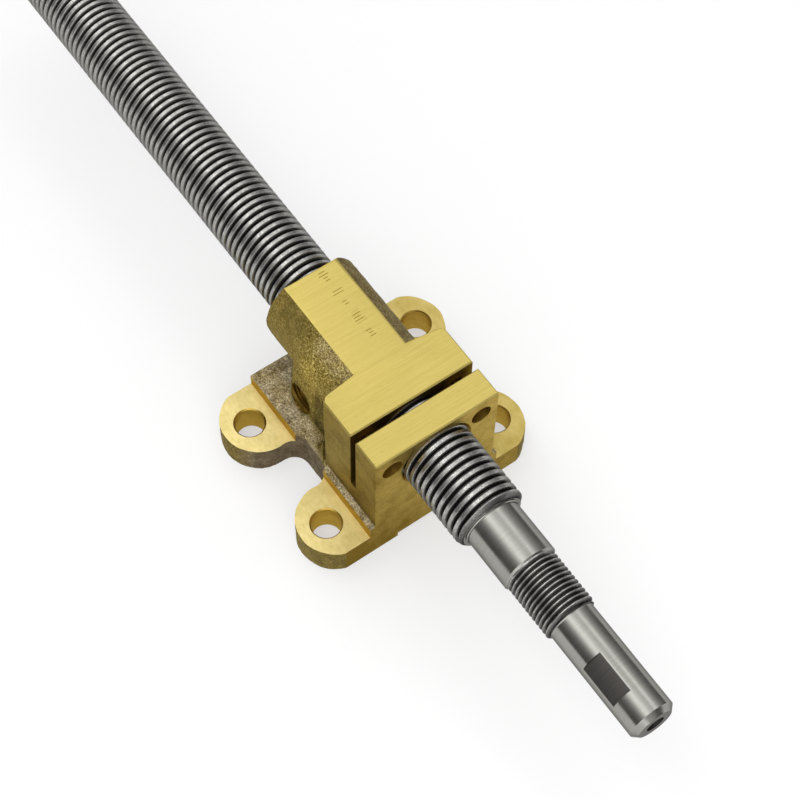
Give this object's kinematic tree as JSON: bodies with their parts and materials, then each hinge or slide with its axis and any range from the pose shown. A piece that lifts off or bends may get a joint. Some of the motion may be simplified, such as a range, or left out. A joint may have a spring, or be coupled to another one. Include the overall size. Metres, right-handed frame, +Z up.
{
  "type": "lead screw nut",
  "caption": "Cast brass feed nut with bolt ears and an adjusting slit, on a turned steel lead screw with a bearing journal, a fine thread and a flatted driven end.",
  "frame": {"origin": "middle of the four bolt holes, on the plane of the machined underside", "axes": "+X along the screw towards its driven end, +Z up out of the base"},
  "size_m": [0.3175, 0.077, 0.0508],
  "materials": {
    "nut_brass": "machined faces on an as-cast body",
    "screw_steel": "turned and thread-milled"
  },
  "bodies": {
    "nut": {"feed_nut": "nut_brass"},
    "screw": {"lead_screw": "screw_steel"}
  },
  "joints": [
    {"name": "screw_travel", "type": "slide", "parent": "nut", "child": "screw", "axis": [1, 0, 0], "range_m": [-0.0225, 0.155]}
  ]
}
